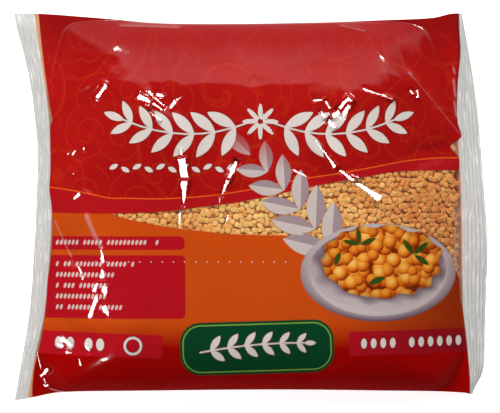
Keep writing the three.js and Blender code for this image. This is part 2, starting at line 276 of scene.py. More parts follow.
def randomCreases():  # thin folds: most start at a seal or a long side and run inwards
    draw = np.random.RandomState(wrinkles["seed"])
    made = []

    def add(kind, x, y, dx, dy):
        rise = draw.uniform(-kind["rise"], kind["rise"])
        made.append(((x, y), (x + dx, y + dy), rise, draw.uniform(*kind["spread"])))

    kind = wrinkles["fromSeals"]
    for _ in range(kind["count"]):
        end = draw.choice([-1, 1])
        share = draw.uniform(-kind["share"], kind["share"])
        seal = along(bag["leftSeal" if end < 0 else "rightSeal"], share)
        x = seal - end * draw.uniform(*kind["inwards"])
        run = draw.uniform(*kind["run"])
        turn = draw.normal(0, kind["turn"]) - share * kind["towardsMiddle"]
        add(kind, x, share * halfWidth, -end * run * math.cos(turn), run * math.sin(turn))
    kind = wrinkles["fromSides"]
    for _ in range(kind["count"]):
        side = draw.choice([-1, 1])
        x = draw.uniform(-kind["along"], kind["along"])
        y = side * draw.uniform(*kind["across"])
        run = draw.uniform(*kind["run"])
        turn = draw.normal(0, kind["turn"])
        add(kind, x, y, run * math.sin(turn), -side * run * math.cos(turn))
    kind = wrinkles["inside"]
    for _ in range(kind["count"]):
        x = draw.uniform(-kind["along"], kind["along"])
        y = draw.uniform(-kind["across"], kind["across"])
        run = draw.uniform(*kind["run"])
        turn = draw.uniform(0, math.pi)
        add(kind, x, y, run * math.cos(turn), run * math.sin(turn))
    return made


def smoothFront(x, y, share):  # the front without the film's own wrinkles
    full = 1 - lack(x, y, share)
    full = full ** 2 * (1 + wrinkles["easeIn"]) / (full + wrinkles["easeIn"])
    fall = bag["crownFall"] * ((x / bag["halfLength"]) ** 2 + (y / halfWidth) ** 2)
    relief = sum(foldHeight(fold, x, y) for fold in bag["folds"])
    relief = relief + sum(swellHeight(swell, x, y) for swell in bag["swells"])
    rise = (bag["height"] - bag["sideHeight"] - fall) * full + relief * np.minimum(1, bag["reliefIn"] * full)
    return middleHeight(x, share) + np.maximum(rise, 0), full


def shareAt(x, y):
    return np.clip(2 * (y - along(bag["bottomSide"], x))
                   / (along(bag["topSide"], x) - along(bag["bottomSide"], x)) - 1, -1, 1)


def facetHeight(x, y, size):  # flat little triangles between random heights on a bent lattice
    count, bend = wrinkles["facetLattice"], wrinkles["facetBend"]
    heights = np.random.RandomState(wrinkles["facetSeed"]).uniform(-1, 1, (count, count))
    v = 1.15 * (y / size + bend * np.sin(x / size * 0.9 + 1))
    u = x / size + bend * np.sin(y / size * 1.1) + 0.5 * v
    i, j = np.floor(u).astype(int), np.floor(v).astype(int)
    right, up = u - i, v - j
    left, down = 1 - right, 1 - up
    corner = [[heights[(i + a) % count, (j + b) % count] for b in (0, 1)] for a in (0, 1)]
    lower = corner[0][0] + right * (corner[1][0] - corner[0][0]) + up * (corner[0][1] - corner[0][0])
    upper = corner[1][1] + left * (corner[0][1] - corner[1][1]) + down * (corner[1][0] - corner[1][1])
    return np.where(right + up < 1, lower, upper)


thinCreases = wrinkles["soft"] + randomCreases()


def filmRelief(x, y, full):
    relief = sum(creaseHeight(crease, x, y) for crease in thinCreases)
    line = np.interp(x, *np.array(wrinkles["shoulder"]).T)
    ends = smoothstep(wrinkles["shoulderHalf"] - np.abs(x), 0, wrinkles["shoulderEnds"])
    relief = relief - wrinkles["shoulderTilt"] * np.clip(y - line, 0, wrinkles["shoulderReach"]) * ends
    crumpled = lerp(wrinkles["calm"], wrinkles["edges"], smoothstep(1 - full, *wrinkles["edgeRange"]))
    for place, reach, strength in wrinkles["crumpled"]:
        near = np.exp(-((x - place[0]) ** 2 + (y - place[1]) ** 2) / reach ** 2)
        crumpled = np.maximum(crumpled, strength * near)
    facets = sum(height * facetHeight(x, y, size) for size, height in wrinkles["facets"])
    return relief + crumpled * facets


def bareFront(x, y, share):  # the film's front without the facets that glint
    height, full = smoothFront(x, y, share)
    return height + filmRelief(x, y, full) * smoothstep(full, 0, wrinkles["fullAt"]) + bag["film"] / 2


def makeGlints():  # each facet with its middle, its height and the tilt that mirrors a lamp to the camera
    made, reach = [], wrinkles["glintLean"]
    for start, end, wide, narrow in wrinkles["glints"]:
        middle = [(a + b) / 2 for a, b in zip(start, end)]
        x = middle[0] + reach * np.array([0, 1, -1, 0, 0])
        y = middle[1] + reach * np.array([0, 0, 0, 1, -1])
        level, ahead, behind, above, below = bareFront(x, y, shareAt(x, y))
        place = np.array([*middle, level]) * mm
        toEye = direction(place, np.array([*studio["aim"], studio["cameraHeight"]]))
        halfway = [toEye + direction(place, lampPlace(*lamp[:2])) for lamp in studio["lamps"]]
        tilts = [-half[:2] / half[2] for half in halfway]
        lean = np.array([ahead - behind, above - below]) / (2 * reach)
        nearest = min(tilts, key=lambda tilt: abs(tilt - lean).sum())
        made.append((start, end, wide, narrow, middle, level, nearest))
    return made


glints = makeGlints()


def insideGlint(glint, x, y):  # distance from a facet's edge, positive inside
    start, end, wide, narrow = glint[:4]
    t, off, _ = fromLine(start, end, x, y)
    half = lerp(wide, narrow, np.clip(t, 0, 1))
    return np.minimum(np.minimum(t, 1 - t) * math.dist(start, end), half - off)


def nearGlint(x, y):  # 1 on the facets and close to them, 0 further off
    inside = np.maximum.reduce([insideGlint(glint, x, y) for glint in glints])
    return smoothstep(inside, *wrinkles["glintNear"])


def frontHeight(x, y, share):
    height = bareFront(x, y, share)
    far, near = wrinkles["glintEdge"]
    for glint in glints:
        middle, level, tilt = glint[4:]
        flat = level + (x - middle[0]) * tilt[0] + (y - middle[1]) * tilt[1]
        height = lerp(height, flat, smoothstep(insideGlint(glint, x, y), -far, -near))
    return height


def backHeight(x, y, share):  # hangs as deep as the front stands up, until the table flattens it
    hang = bag["backDepth"] * (1 - lack(x, y, share))
    free = middleHeight(x, share) - hang - bag["film"] / 2 - bag["finStep"]
    rounded = (free + bag["backRound"]) ** 2 / (4 * bag["backRound"])
    onTable = np.where(np.abs(free) < bag["backRound"], rounded, np.maximum(free, 0))
    return onTable + np.where(np.abs(share) * halfWidth <= bag["finHalf"] + 0.01, 0, bag["finStep"])


# the film: one closed skin, a front and a back grid with a common rim

film = {
    "sealColumns": 36,  # across each end seal
    "bodyColumns": 104,
    "rows": 92,
    "detail": 1.5,  # the front's cells are cut again this near to a facet or an edge of the print
    "sharp": 2,  # and to a crease with less spread than this
    "fineEdges": ("cream", "branch", "herbs", "badge", "dish", "dishHollow", "heap"),
    "sideShare": 0.31,  # of the rows go round the two long sides
    "ribs": 6,  # that the sealing jaws press into each seal
    "ribHeight": 0.26,
    "sealWave": 1.1,
    "sealWaves": [(1, 9.5, 1.3, 23), (0.6, 4.1, 2, 17)],  # strength, length, sway and its length
}


def shareOf(row):  # rows from -1 to 1 crowd together round the long sides
    size = np.abs(row)
    flat = 1 - bag["sideRound"] / halfWidth
    turn = np.clip((1 - size) / film["sideShare"], 0, 1) * np.pi / 2
    around = 1 - (1 - flat) * (1 - np.cos(turn))
    between = flat * size / (1 - film["sideShare"])
    return np.sign(row) * np.where(size > 1 - film["sideShare"], around, between)


def planPoint(column, share):  # column: -1 to 0 left seal, 0 to 1 body, 1 to 2 right seal
    lines = [along(bag[name], share) for name in ("leftRim", "leftSeal", "rightSeal", "rightRim")]
    parts = [lerp(lines[i], lines[i + 1], np.clip(column - (i - 1), 0, 1)) for i in range(3)]
    x = np.where(column < 0, parts[0], np.where(column <= 1, parts[1], parts[2]))
    y = lerp(along(bag["bottomSide"], x), along(bag["topSide"], x), (share + 1) / 2)
    return x, y


def sealHeight(column, share):  # a seal hangs from the seal line, wavy, with the crimp's ribs
    left = column < 0
    out = np.maximum(np.where(left, -column, column - 1), 0)
    line = np.where(left, along(bag["leftHeight"], share), along(bag["rightHeight"], share))
    hang = np.where(left, along(bag["leftHang"], share), along(bag["rightHang"], share))
    edge = smoothstep(1 - np.abs(share), 0, 0.06)
    rib = film["ribHeight"] * np.cos(2 * np.pi * film["ribs"] * out) * smoothstep(out, 0, 0.15) * edge
    y = share * halfWidth
    wave = sum(strength * np.sin(y / length + sway * np.sin(y / slow))
               for strength, length, sway, slow in film["sealWaves"])
    return line - hang * out ** 1.4 + rib + film["sealWave"] * 0.5 * wave * out * edge


def gridShell(columns, rows):  # a flat shell, its front at z = 1 and its back at z = 0
    bm = bmesh.new()
    bmesh.ops.create_grid(bm, x_segments=columns, y_segments=rows, size=1)
    made = bmesh.ops.extrude_face_region(bm, geom=bm.faces[:])
    front = [item for item in made["geom"] if isinstance(item, bmesh.types.BMVert)]
    bmesh.ops.translate(bm, verts=front, vec=(0, 0, 1))
    bmesh.ops.recalc_face_normals(bm, faces=bm.faces)
    return bm


def makePiece(name, mesh):
    piece = bpy.data.objects.new(name, mesh)
    bpy.context.scene.collection.objects.link(piece)
    mesh.polygons.foreach_set("use_smooth", np.ones(len(mesh.polygons), bool))
    return piece


def makeObject(name, bm):
    mesh = bpy.data.meshes.new(name)
    bm.to_mesh(mesh)
    bm.free()
    return makePiece(name, mesh)


def readVerts(piece):
    co = np.empty(len(piece.data.vertices) * 3)
    piece.data.vertices.foreach_get("co", co)
    return co.reshape(-1, 3)


def writeVerts(piece, x, y, z):
    co = np.stack([x, y, z], 1) * mm
    piece.data.vertices.foreach_set("co", co.ravel())
    piece.data.update()


def addAttribute(piece, name, values):
    layer = piece.data.attributes.new(name, "FLOAT", "POINT")
    layer.data.foreach_set("value", np.asarray(values, np.float32))


def placeInFilm(co):  # from the flat shell to the bag's plan
    sealCount, bodyCount = film["sealColumns"], film["bodyColumns"]
    step = (co[:, 0] + 1) / 2 * (2 * sealCount + bodyCount) - sealCount
    column = np.where(step < 0, step / sealCount,
                      np.where(step > bodyCount, 1 + (step - bodyCount) / sealCount, step / bodyCount))
    share = shareOf(co[:, 1])
    return column, share, *planPoint(column, share)


def refine(bm, wanted):  # halves the front's cells where wanted says
    verts = [v for v in bm.verts if v.co.z > 0.5]
    column, _, x, y = placeInFilm(np.array([v.co for v in verts]))
    chosen = wanted(column, x, y)
    picked = {v for v, near in zip(verts, chosen) if near}
    edges = [edge for edge in bm.edges if picked.issuperset(edge.verts)]
    bmesh.ops.subdivide_edges(bm, edges=edges, cuts=1, use_grid_fill=True)


def inBody(column, x, y):
    return (column > -1e-4) & (column < 1 + 1e-4)


def detailed(column, x, y):
    fields = printFields(x, y)
    edges = [np.abs(fields[name]) for name in film["fineEdges"]]
    edges += [-insideGlint(glint, x, y) for glint in glints]
    sharp = [crease for crease in wrinkles["soft"] if crease[3] < film["sharp"]]
    edges += [sum(fromLine(*crease[:2], x, y)[1:]) for crease in sharp]
    return inBody(column, x, y) & (np.minimum.reduce(edges) < film["detail"])


def makeFilm():
    bm = gridShell(2 * film["sealColumns"] + film["bodyColumns"], film["rows"])
    refine(bm, inBody)
    refine(bm, detailed)
    bmesh.ops.recalc_face_normals(bm, faces=bm.faces)
    print("film:", sum(len(face.verts) - 2 for face in bm.faces), "triangles")
    piece = makeObject("film", bm)
    co = readVerts(piece)
    column, share, x, y = placeInFilm(co)
    onFront = co[:, 2] > 0.5
    sealed = sealHeight(column, share) + np.where(onFront, 1, -1) * bag["film"] / 2
    z = np.where(onFront, frontHeight(x, y, share), backHeight(x, y, share))
    writeVerts(piece, x, y, np.where((column >= 0) & (column <= 1), z, sealed))
    return piece, x, y, onFront, column


# the print, as distances in millimetres from each shape's edge, positive inside

printed = {
    "left": [[-130.3, -157.8], [-115.9, -156.2], [-103, -153], [-85.7, -149.4], [-67, -147.2],
             [-52.6, -146.5], [-39.6, -144.4], [-23.8, -142.9], [-3.6, -142.9], [12.2, -145.1],
             [26.6, -144.4], [43.9, -144.4], [58, -144.4], [63, -142.8], [69.8, -144.2],
             [78, -145.5], [97, -148.3], [113, -150.4], [139, -153.2]],
    "right": [[-124.6, 158.8], [-107.3, 157.3], [-94.3, 155.9], [-77, 153.7], [-67, 151.6],
              [-51.1, 150.1], [-39.6, 145.8], [-23.8, 146.5], [-5.8, 147.2], [9.4, 149.4],
              [26.6, 150.1], [36, 150], [44, 144], [50, 152], [60, 149.6], [78.5, 148.7], [95.8, 150.1],
              [113, 151.6], [127.4, 150.8]],
    "thinLine": [[-144.4, 14.4], [-125.6, 11.5], [-111.2, 8.6], [-101.2, 6.5], [-86.8, 6.2],
                 [-66.6, 5.8], [-42.8, 6.9], [-24.8, 8.6], [-1.8, 12.2], [33.5, 19.4], [59.4, 23.4],
                 [86, 28.1], [109.8, 32.7], [134.3, 35.3], [146.5, 35.5]],
    "windowTop": [[-142.2, -4.3], [-104.8, -4.8], [-73.1, -4], [-52.9, -2.4], [-32, 0.4], [-11.2, 3.1],
                  [4, 5.8], [38.5, 13.4], [61.6, 18], [86, 22.3], [99.7, 24.8], [120.6, 26.1],
                  [150.8, 26.6]],
    "windowBottom": [[-105.5, -4.6], [-100.4, -5.5], [-86.8, -8.9], [-73.1, -11.7], [-52.9, -15.1],
                     [-32, -17.6], [-18.4, -18.9], [6.8, -20], [23.4, -20.2], [50, -23.8],
                     [78.8, -31], [144.4, -38]],
    # crimson panels: centre, half size, corner radius, turn
    "panels": [((-102, -25.8), (55, 4.9), 3.5, 0), ((-101.4, -57.2), (55, 22.7), 3, 0),
               ((-114, -98.4), (51, 8.4), 1.5, -0.032), ((117, -96.6), (47, 8.6), 1.5, 0.022)],
    "badge": ((4.7, -100.4), (55, 19), 15, 0.03),
    "dish": ((91.8, -46.8), (56, 35)),  # centre, half axes
    "dishHollow": ((91.4, -44.4), (49.5, 29)),
    "heap": ((94, -39), (43, 26)),
    "branch": [(57, -31), (46, -16), (35, -2), (24, 12), (12, 25), (0, 37)],  # of pale leaves beside the dish
    "branchLeaf": (35, 15),  # length, width
    "backPanel": ((0, -8), (96, 74), 9, 0),
    "picturedBranch": (0.09, 0.7),  # how much each next leaf is smaller, and how far it turns out
    # pale sprays: stalk from, to and bow, pairs of leaves, length and width of a leaf
    "sprays": [((-2, 60), (-90, 62), -9, 6, 23, 8), ((16, 60), (102, 62), -9, 6, 23, 8),
               ((-36, -104), (38, -97), 2, 6, 13, 5)],
    "sprayTurn": 0.8,
    "stalkHalf": 0.6,
    "rosette": ((7, 61), 8, 13),  # centre, petals, reach
    "leafRow": {"count": 11, "start": (-101, 27), "step": 8.4, "rise": 1.5, "turn": 0.5, "size": (7.4, 3.4)},
    "ovals": [(-138, -97.4), (-129.6, -97.7), (-116, -98.2), (-107.6, -98.5)],
    "ovalHalf": (2.9, 4.4),
    "ring": ((-84, -99.3), 5.8, 0.9),  # centre, radius, half width
    "ovalRow": {"places": (0, 1, 2, 3, 5, 6, 7, 8, 9, 10), "start": (81, -97.5), "step": (6.9, 0.15),
                "half": (2.1, 3.6)},
    # on the dish: start, heading, length and width of each green leaf
    "herbs": [((78, -27), 0.4, 13, 3.6), ((78, -27), 1.7, 13, 3.6), ((78, -27), 2.9, 13, 3.6),
              ((117, -34), -0.6, 14, 4), ((117, -34), 0.7, 14, 4), ((117, -34), 2.2, 14, 4),
              ((84, -55), 0.4, 13, 4.6), ((60, -42), 1.2, 11, 4)],
}
frontOnly = ("cream", "branch", "herbs", "dish", "dishHollow", "heap", "badge", "panels", "window")
farOutside = -9.0  # what a field says far from its shape


def roundedBox(shape, x, y):
    centre, half, radius, turn = shape
    dx, dy = x - centre[0], y - centre[1]
    u = np.abs(dx * math.cos(turn) + dy * math.sin(turn)) - half[0] + radius
    v = np.abs(dy * math.cos(turn) - dx * math.sin(turn)) - half[1] + radius
    outside = np.hypot(np.maximum(u, 0), np.maximum(v, 0))
    return radius - outside - np.minimum(np.maximum(u, v), 0)


def ellipse(shape, x, y):
    centre, half = shape
    reach = np.hypot((x - centre[0]) / half[0], (y - centre[1]) / half[1])
    return (1 - reach) * min(half)


tipSize = 0.7  # of the leaf at the end of a stalk, against the others


def leafPlace(start, angle, length, x, y):  # the share along a leaf, and the way across its midrib
    dx, dy = x - start[0], y - start[1]
    t = (dx * math.cos(angle) + dy * math.sin(angle)) / length
    return t, dy * math.cos(angle) - dx * math.sin(angle)


def leaf(start, angle, length, width, x, y):  # a pointed leaf from its stalk's end
    t, off = leafPlace(start, angle, length, x, y)
    inside = 2 * width * np.clip(t, 0, 1) * (1 - np.clip(t, 0, 1)) - np.abs(off)
    beyond = np.maximum(np.maximum(-t, t - 1), 0) * length
    return np.where(beyond > 0, -np.hypot(beyond, off), inside)


def branchLeaves():  # start, heading, length and width of each leaf of the pale branch
    stalk = np.array(printed["branch"], float)
    length, width = printed["branchLeaf"]
    shrink, turn = printed["picturedBranch"]
    made = []
    for k, (place, ahead) in enumerate(zip(stalk[:-1], stalk[1:])):
        heading = math.atan2(*(ahead - place)[::-1])
        size = 1 - shrink * k
        made += [(tuple(place), heading + side * turn, length * size, width * size) for side in (-1, 1)]
    return made + [(tuple(stalk[-1]), heading, length * tipSize, width * tipSize)]


def branchFields(x, y):  # distance inside the leaves, and how far across the nearest leaf a place is
    edge, across = np.full(len(x), farOutside), np.zeros(len(x))
    for start, heading, length, width in branchLeaves():
        inside = leaf(start, heading, length, width, x, y)
        off = leafPlace(start, heading, length, x, y)[1]
        across = np.where(inside > edge, off, across)
        edge = np.maximum(edge, inside)
    return edge, across


def arc(start, end, bow, count=9):  # points on a bowed line
    t = np.linspace(0, 1, count)
    return [(lerp(start[0], end[0], k), lerp(start[1], end[1], k) + bow * 4 * k * (1 - k)) for k in t]


def spray(start, end, bow, pairs, length, width, x, y):  # leaves in pairs along a bowed stalk
    stalk = np.array(arc(start, end, bow), float)
    reach = np.r_[0, np.cumsum(np.hypot(*np.diff(stalk, axis=0).T))]

    def onStalk(distance):
        return [np.interp(distance, reach, line) for line in stalk.T]

    made = [printed["stalkHalf"] - np.hypot(*fromLine(a, b, x, y)[1:]) for a, b in zip(stalk, stalk[1:])]
    for k in range(pairs):
        at = reach[-1] * (k + 0.6) / pairs
        ahead, behind = onStalk(at + 1), onStalk(at - 1)
        heading = math.atan2(ahead[1] - behind[1], ahead[0] - behind[0])
        size = 1 - 0.35 * (k / pairs) ** 2
        for turn in (-printed["sprayTurn"], printed["sprayTurn"]):
            made.append(leaf(onStalk(at), heading + turn, length * size, width * size, x, y))
    heading = math.atan2(*(stalk[-1] - stalk[-2])[::-1])
    made.append(leaf(stalk[-1], heading, length * tipSize, width * tipSize, x, y))
    return np.maximum.reduce(made)


def rosette(centre, petals, reach, x, y):
    angle = np.arctan2(y - centre[1], x - centre[0])
    edge = reach * (0.62 + 0.38 * np.cos(petals * angle))
    ring = np.hypot(x - centre[0], y - centre[1])
    return np.where(ring < 0.22 * reach, ring - 0.16 * reach, edge - ring)


def paleShapes(x, y):  # sprays, rosette, leaf row, ovals and ring, all in the same cream ink
    made = [spray(*each, x, y) for each in printed["sprays"]]
    made.append(rosette(*printed["rosette"], x, y))
    row = printed["leafRow"]
    for k in range(row["count"]):
        start = (row["start"][0] + row["step"] * k, row["start"][1] + row["rise"] * (k % 2))
        made.append(leaf(start, row["turn"] * (1 - 2 * (k % 2)), *row["size"], x, y))
    made += [ellipse((centre, printed["ovalHalf"]), x, y) for centre in printed["ovals"]]
    centre, radius, half = printed["ring"]
    made.append(half - np.abs(np.hypot(x - centre[0], y - centre[1]) - radius))
    row = printed["ovalRow"]
    for k in row["places"]:
        centre = [start + step * k for start, step in zip(row["start"], row["step"])]
        made.append(ellipse((centre, row["half"]), x, y))
    return np.maximum(np.maximum.reduce(made), farOutside)


def printFields(x, y):
    top, bottom = along(printed["windowTop"], x), along(printed["windowBottom"], x)
    uneven = 0.9 * np.sin(x / 3.1 + y / 2.7) + 0.8 * np.sin(x / 4.6 - y / 3.3)  # edge of the heap
    branch, branchAcross = branchFields(x, y)
    return {
        "inPrint": np.minimum(x - along(printed["left"], y), along(printed["right"], y) - x),
        "belowLine": along(printed["thinLine"], x) - y,
        "belowBand": top - y,
        "window": np.minimum(top - y, y - bottom),
        "panels": np.maximum.reduce([roundedBox(shape, x, y) for shape in printed["panels"]]),
        "badge": roundedBox(printed["badge"], x, y),
        "dish": ellipse(printed["dish"], x, y),
        "dishHollow": ellipse(printed["dishHollow"], x, y),
        "heap": ellipse(printed["heap"], x, y) + uneven,
        "herbs": np.maximum.reduce([leaf(*herb, x, y) for herb in printed["herbs"]]),
        "branch": branch,
        "branchAcross": branchAcross,
        "cream": paleShapes(x, y),
    }


filmPiece, filmX, filmY, filmFront, filmColumn = makeFilm()
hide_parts("bag")
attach(filmPiece, "root")
for fieldName, values in printFields(filmX, filmY).items():
    shown = filmFront | (fieldName not in frontOnly)
    addAttribute(filmPiece, fieldName, np.where(shown, values, farOutside))
backPanel = roundedBox(printed["backPanel"], filmX, filmY)
addAttribute(filmPiece, "backPanel", np.where(filmFront, farOutside, backPanel))
addAttribute(filmPiece, "front", filmFront)
addAttribute(filmPiece, "fromSeal", np.minimum(filmColumn, 1 - filmColumn) * 2 * bag["halfLength"])
addAttribute(filmPiece, "seal", np.maximum(-filmColumn, filmColumn - 1))
# how high the crests of the sharp creases stand, where the print is painted pale: ink wear and painted
# highlight
crest = sum(np.maximum(creaseHeight(crease, filmX, filmY), 0) for crease in wrinkles["soft"])
addAttribute(filmPiece, "crest", crest)
print("print fields on the film")


# node helpers

class Nodes:  # builds one material, a node at a time
    def __init__(self, name):
        self.material = bpy.data.materials.new(name)
        self.material.use_nodes = True
        self.tree = self.material.node_tree
        self.tree.nodes.clear()
        self.output = self.tree.nodes.new("ShaderNodeOutputMaterial")

    def feed(self, socket, value):  # by a link from another socket, or with a value
        if isinstance(value, bpy.types.NodeSocket):
            self.tree.links.new(value, socket)
        else:
            socket.default_value = value

    def add(self, kind, settings=None, **inputs):
        node = self.tree.nodes.new("ShaderNode" + kind)
        for key, value in (settings or {}).items():
            setattr(node, key, value)
        for key, value in inputs.items():
            name = int(key[2:]) if key.startswith("in") else key.replace("_", " ")
            self.feed(node.inputs[name], value)
        return node

    def first(self, kind, settings=None, **inputs):  # the first output of a new node
        return self.add(kind, settings, **inputs).outputs[0]

    def math(self, operation, *values):
        inputs = {"in%d" % i: value for i, value in enumerate(values)}
        return self.first("Math", {"operation": operation}, **inputs)

    def product(self, value, *others):
        for other in others:
            value = self.math("MULTIPLY", value, other)
        return value

    def hypot(self, a, b):
        return self.math("SQRT", self.math("ADD", self.math("POWER", a, 2), self.math("POWER", b, 2)))

    def vector(self, operation, a, b):
        return self.add("VectorMath", {"operation": operation}, in0=a, in1=b)

    def place(self):
        return self.add("TexCoord").outputs["Object"]

    def attribute(self, name):
        return self.add("Attribute", {"attribute_name": name}).outputs["Fac"]

    def fade(self, value, low, high, start=0, end=1):  # from start to end between low and high
        return self.first("MapRange", Value=value, From_Min=low, From_Max=high, To_Min=start, To_Max=end)

    def inside(self, value, soft=0.35):  # 0 outside a shape, 1 inside, over a soft edge in mm
        return self.fade(value, -soft, soft)

    def mix(self, factor, a, b):
        return self.add("Mix", {"data_type": "RGBA"}, in0=factor, in6=a, in7=b).outputs[2]

    def mixShader(self, factor, a, b):
        return self.first("MixShader", in0=factor, in1=a, in2=b)

    def ramp(self, value, stops):
        node = self.add("ValToRGB", in0=value)
        for element in list(node.color_ramp.elements)[1:]:
            node.color_ramp.elements.remove(element)
        for i, (place, tone) in enumerate(stops):
            element = node.color_ramp.elements[0] if i == 0 else node.color_ramp.elements.new(place)
            element.position, element.color = place, tone
        return node.outputs[0]

    def finish(self, shader):
        self.tree.links.new(shader, self.output.inputs["Surface"])
        return self.material


def colour(red, green, blue):  # from screen values out of 255 to the linear values that shaders use
    screen = np.array([red, green, blue]) / 255
    linear = np.where(screen <= 0.04045, screen / 12.92, ((screen + 0.055) / 1.055) ** 2.4)
    return (*(float(v) for v in linear), 1.0)


inks = {
    "red": colour(184, 22, 18),
    "deepRed": colour(166, 14, 14),
    "topRed": colour(140, 12, 14),
    "band": colour(180, 20, 26),
    "line": colour(232, 92, 24),
    "orange": colour(210, 82, 18),
    "deepOrange": colour(200, 70, 12),
    # painted shade: the orange as it darkens towards the right
    "shadedRightOrange": colour(152, 46, 10),
    "edge": colour(236, 152, 78),  # the back's border, seen through the clear margins
    # painted shade: the crimson panels as they darken towards the right
    "shadedRightPanel": colour(142, 16, 26),
    # painted shade in the fold beside the right seal
    "sideEdge": colour(104, 6, 30),
    "bottomRed": colour(162, 2, 0),
    "panel": colour(184, 18, 30),
    "green": colour(8, 66, 38),
    "greenLine": colour(120, 160, 60),
    "cream": colour(226, 214, 206),
    "shade": colour(84, 8, 8),  # a thin outline round what is cream
    "dish": colour(204, 190, 188),
    "dishMid": colour(166, 144, 152),
    "dishShade": colour(104, 78, 92),
    "herb": colour(52, 78, 24),
    "leaf": colour(206, 190, 184),
    "leafShade": colour(164, 142, 146),
    "foodGap": colour(120, 40, 10),
}
foodTones = [(0.0, colour(150, 54, 10)), (0.3, colour(214, 98, 20)), (0.62, colour(240, 148, 44)),
             (0.85, colour(252, 190, 88)), (1.0, colour(255, 232, 186))]

ground = {
    "cloud": {"Scale": 14, "Detail": 3},  # the red and the orange are slightly uneven
    "redRange": (0.3, 0.7),
    "spirals": [(30, 560, 0.1), (17, 300, 0.07)],  # a faint scroll: scale, lines, strength
    "spiralEdge": (0.9, 1),
    "topDark": (96, 130, 0, 0.7),
    "lineHalf": 0.42,
    "shadeTowardsRight": (50, 150),  # painted shade: the orange and the panels darken towards the right between these x
    "bottom": (-101, -82),
    "badgeLine": (2.2, 0.5),  # how far inside the badge, half width
    "outline": 0.6,  # round all that is cream: its width and its strength
    "backBorder": 2,
    "foldShadeAtEdge": {"above": 54, "from": 2.2, "to": 0.6, "most": 0.7},  # painted shade of the fold along the print's upper right edge
    "wornAndHighlight": (0.76, 1.2, 0, 0.28),  # pale along the crests of the sharpest creases: partly ink wear, partly painted highlight
}
marks = {  # small ovals in rows, in the panels and on the back, and a row of pin holes on the front
    "rowStep": 7.75,
    "firstRow": -40.8,
    "lowestRow": -76,
    "rowLength": (11.5, 16),  # ovals in a row at least, and how many more at most
    "ovalStep": 2.9,
    "firstOval": -140.6,
    "ovalLean": 0.25,
    "ovalHalf": (1.05, 1.9),
    "ovalEdge": (1.1, 0.8),
    "ovalsLeftOut": 0.16,
    "panelMargin": 1,
    "panelInk": 0.75,
    "backMargin": 7,
    "backInk": 0.7,
    "holeStep": 8,
    "holeRow": -39.2,
    "holeStart": -71,
    "holeMiddle": -41,
    "holeReach": 70,
    "holeEdge": (0.75, 0.35, 0, 0.6),
}
picture = {
    "leafHalves": (-0.8, 0.8),  # of each leaf, one in shade
    "midrib": (0.7, 0.2, 0, 0.6),
    "branchTop": (56, 26),  # where the branch fades
    "light": (-80, -22),  # up the dish
    "rimShade": (0.3, 4),
    "rimEdge": (3.6, 4.6),
    "rimLight": 0.8,
    "hollowEdge": 0.8,
    "shadow": (-5, 0.5),
    "heapEdge": (5, -1, 0, 0.5),
    "grains": [(121, 0.31, 0.72), (113, 0.17, 0.9), (104, 0, 1)],  # layers: scale, shift, brightness
    "grainSpread": 0.7,
    "grainRadius": (0.14, 0.42),  # how much it varies, and the least
    "grainLight": (-0.5, 0.8),  # from the upper left
    "grainTone": (0.3, 0.5),
    "grainDome": -1.9,
}


def grainLayer(n, place, scale, shift):  # where a layer's round grains are, and their tone
    moved = n.vector("ADD", place, (shift, shift / 2, 0)).outputs[0]
    cells = n.add("TexVoronoi", {"voronoi_dimensions": "2D"}, in0=moved, Scale=scale,
                  Randomness=picture["grainSpread"])
    away = n.vector("SUBTRACT", moved, cells.outputs["Position"]).outputs[0]
    light = [part * scale for part in picture["grainLight"]]
    lit = n.vector("DOT_PRODUCT", away, (*light, 0)).outputs["Value"]
    chance = n.first("SeparateColor", in0=cells.outputs["Color"])
    radius = n.math("MULTIPLY_ADD", chance, *picture["grainRadius"])
    cover = n.inside(n.math("SUBTRACT", radius, cells.outputs["Distance"]), 0.02)
    dome = n.math("POWER", cells.outputs["Distance"], 2)
    tone = n.math("MULTIPLY_ADD", chance, *picture["grainTone"])
    tone = n.math("MULTIPLY_ADD", dome, picture["grainDome"], tone)
    return cover, n.math("ADD", tone, lit)


def redColour(n, place, y, cloud):
    red = n.mix(n.fade(cloud, *ground["redRange"]), inks["deepRed"], inks["red"])
    for scale, lineCount, strength in ground["spirals"]:
        cells = n.add("TexVoronoi", in0=place, Scale=scale, Randomness=0.8)
        fromCentre = n.vector("SUBTRACT", place, cells.outputs["Position"])
        parts = n.add("SeparateXYZ", in0=fromCentre.outputs[0])
        angle = n.math("ARCTAN2", parts.outputs[1], parts.outputs[0])
        turns = n.math("MULTIPLY", cells.outputs["Distance"], lineCount / scale)
        scroll = n.math("SINE", n.math("ADD", turns, angle))
        red = n.mix(n.fade(scroll, *ground["spiralEdge"], end=strength), red, inks["line"])
    return n.mix(n.fade(y, *ground["topDark"]), red, inks["topRed"])


def ovalRows(n, x, y):  # rows of leaning ovals with some left out; also each one's place in its row
    row = n.math("DIVIDE", n.math("SUBTRACT", y, marks["firstRow"]), marks["rowStep"])
    rowIndex = n.math("ROUND", row)
    above = n.product(n.math("SUBTRACT", row, rowIndex), marks["rowStep"])
    leaned = n.math("MULTIPLY_ADD", above, -marks["ovalLean"], x)
    oval = n.math("DIVIDE", n.math("SUBTRACT", leaned, marks["firstOval"]), marks["ovalStep"])
    ovalIndex = n.math("FLOOR", oval)
    across = n.math("SUBTRACT", n.math("SUBTRACT", oval, ovalIndex), 0.5)
    across = n.product(across, marks["ovalStep"])
    halfX, halfY = marks["ovalHalf"]
    reach = n.hypot(n.math("DIVIDE", across, halfX), n.math("DIVIDE", above, halfY))
    number = n.math("ADD", ovalIndex, n.product(rowIndex, 37.7))
    chance = n.first("TexWhiteNoise", {"noise_dimensions": "1D"}, W=number)
    kept = n.math("GREATER_THAN", chance, marks["ovalsLeftOut"])
    return n.product(n.fade(reach, *marks["ovalEdge"]), kept), rowIndex, ovalIndex


